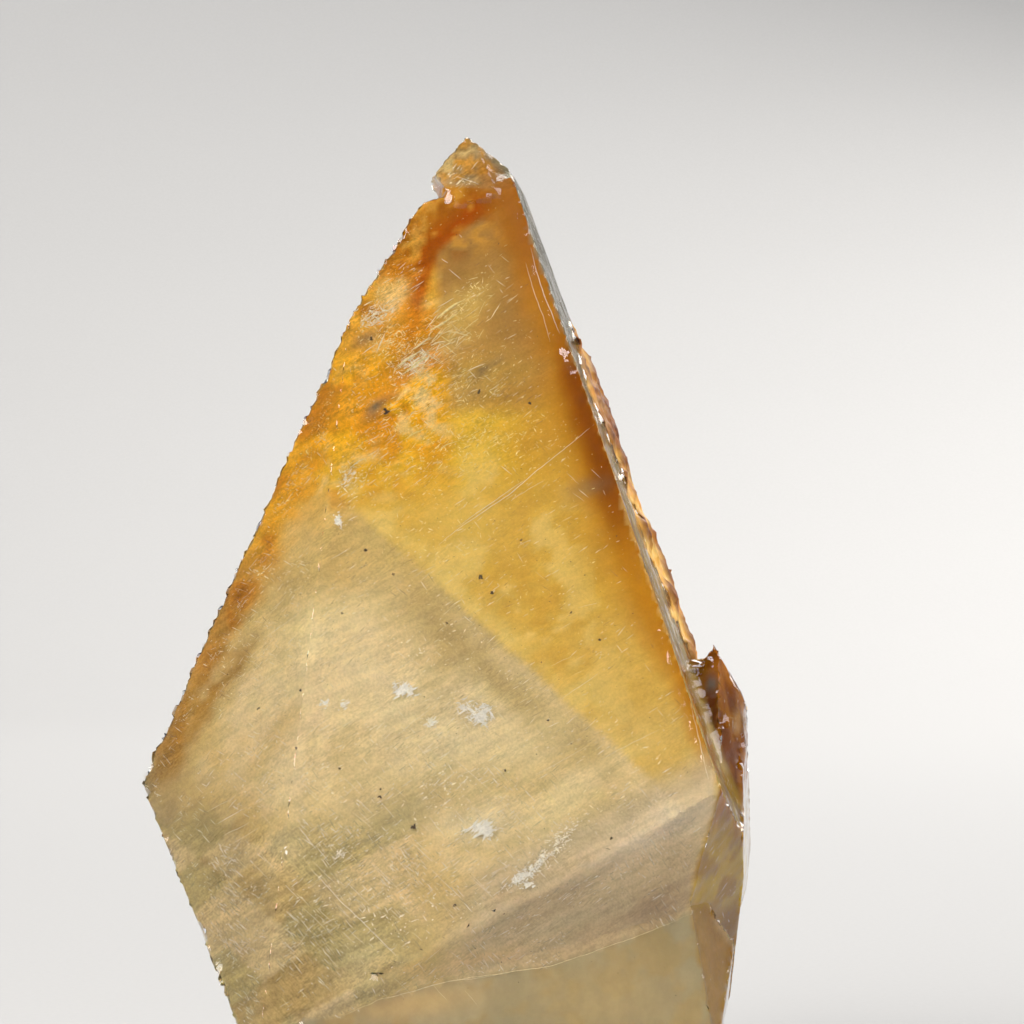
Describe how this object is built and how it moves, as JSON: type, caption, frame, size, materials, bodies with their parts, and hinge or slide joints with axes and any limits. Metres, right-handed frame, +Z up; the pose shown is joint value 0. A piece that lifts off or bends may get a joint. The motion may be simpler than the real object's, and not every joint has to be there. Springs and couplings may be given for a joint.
{
  "type": "calcite crystal",
  "caption": "Golden see-through dogtooth calcite crystal with a broken tip, a side crystal and a second growth at its foot, cut off flat to stand upright.",
  "frame": {"origin": "middle of the bounding box in X and Y, on the flat cut foot", "axes": "+Z up along the crystal's long axis, -Y towards its broad front face, +X towards the side crystal"},
  "size_m": [0.0732, 0.0822, 0.1189],
  "materials": {
    "honey_calcite": "see-through to milky golden crystal with natural growth faces, amber-brown towards the tip and the edges"
  },
  "bodies": {
    "root": {"calcite": "honey_calcite"}
  },
  "joints": []
}
